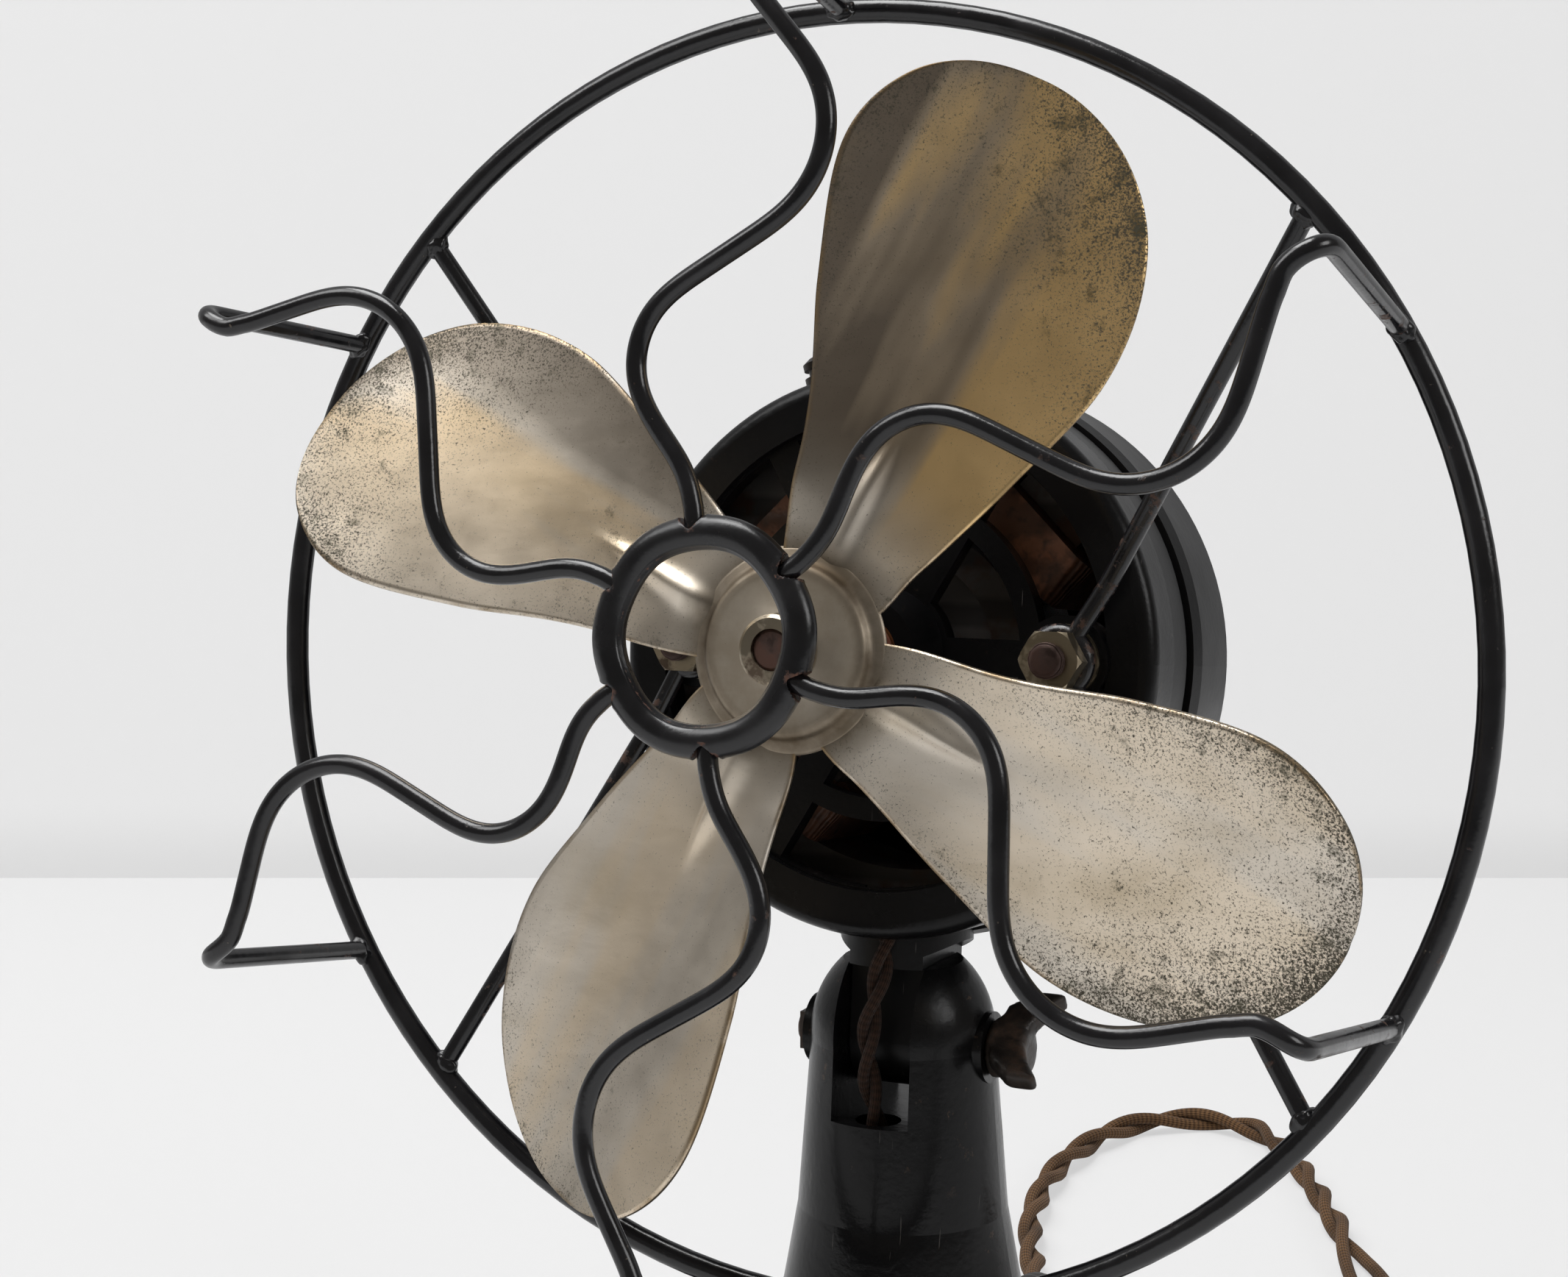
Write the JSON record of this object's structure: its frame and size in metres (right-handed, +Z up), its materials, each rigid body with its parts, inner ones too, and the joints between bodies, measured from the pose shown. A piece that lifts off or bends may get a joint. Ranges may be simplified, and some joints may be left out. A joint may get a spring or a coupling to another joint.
{
  "type": "electric desk fan",
  "caption": "Old electric desk fan: pressed nickelled blades in a curled-wire guard on a black motor that tilts in a forked, bell-shaped cast base, with a twisted cloth cord.",
  "frame": {"origin": "centre of the foot's underside, on the table", "axes": "+Z up, +X to the right of someone facing the fan, the air blows towards -Y"},
  "size_m": [0.2851, 0.3574, 0.2827],
  "materials": {
    "black_enamel": "gloss black enamel over cast iron, dulled with age",
    "wire_enamel": "black enamel on steel wire, chipped at the joints",
    "zinc_steel": "plain sheet steel",
    "dark_steel": "steel, dull and lightly rusted",
    "bright_steel": "ground steel with a rusty end",
    "iron_core": "stacked iron laminations",
    "copper_winding": "varnished copper wire",
    "bronze": "plain bronze",
    "nickel_plate": "worn warm nickel plate on brass, pitted near the tips",
    "felt": "green felt",
    "fibre": "red-brown vulcanised fibre",
    "bakelite": "dark brown moulded resin",
    "cloth_cord": "brown twisted cotton-covered pair",
    "plug_brass": "plain brass"
  },
  "bodies": {
    "base": {"base_column": "black_enamel", "base_plate": "zinc_steel", "base_felt": "felt", "plate_screws": "zinc_steel", "pivot_nut": "dark_steel", "switch_plate": "fibre", "cord_gland": "bakelite", "cord": "cloth_cord", "cord_coil": "cloth_cord", "cord_tail": "cloth_cord", "plug_body": "bakelite", "plug_blades": "plug_brass"},
    "clamp": {"wing_screw": "dark_steel"},
    "lever": {"switch_lever": "dark_steel", "switch_knob": "bakelite"},
    "head": {"front_bell": "black_enamel", "stator_housing": "black_enamel", "rear_bell": "black_enamel", "front_bush": "bronze", "rear_bush": "bronze", "oil_cup": "black_enamel", "stator_core": "iron_core", "field_coils": "copper_winding", "guard_studs": "dark_steel", "guard_nuts": "dark_steel", "rear_nuts": "dark_steel", "guard_washers": "dark_steel", "guard_ring": "wire_enamel", "guard_hub_ring": "wire_enamel", "guard_wire_1": "wire_enamel", "guard_wire_2": "wire_enamel", "guard_wire_3": "wire_enamel", "guard_wire_4": "wire_enamel", "guard_wire_5": "wire_enamel", "guard_wire_6": "wire_enamel", "guard_strut_right": "wire_enamel", "guard_strut_left": "wire_enamel", "motor_lead": "cloth_cord"},
    "rotor": {"rotor_shaft": "bright_steel", "rotor_core": "iron_core", "thrust_washers": "fibre", "fan_blade": "nickel_plate", "blade_hub": "nickel_plate", "set_screw": "dark_steel"}
  },
  "joints": [
    {"name": "head_tilt", "type": "hinge", "parent": "base", "child": "head", "pos_m": [0, 0, 0.088], "axis": [-1, 0, 0], "range_deg": [-16, 18]},
    {"name": "fan_spin", "type": "hinge", "parent": "head", "child": "rotor", "pos_m": [0, 0.0071, 0.15915], "axis": [0, -0.9951, 0.0993], "continuous": true},
    {"name": "clamp_turn", "type": "hinge", "parent": "base", "child": "clamp", "pos_m": [0, 0, 0.088], "axis": [1, 0, 0], "range_deg": [-180, 180]},
    {"name": "switch_swing", "type": "hinge", "parent": "base", "child": "lever", "pos_m": [0, -0.045, 0.006], "axis": [0, 0, 1], "range_deg": [-18, 18]}
  ]
}
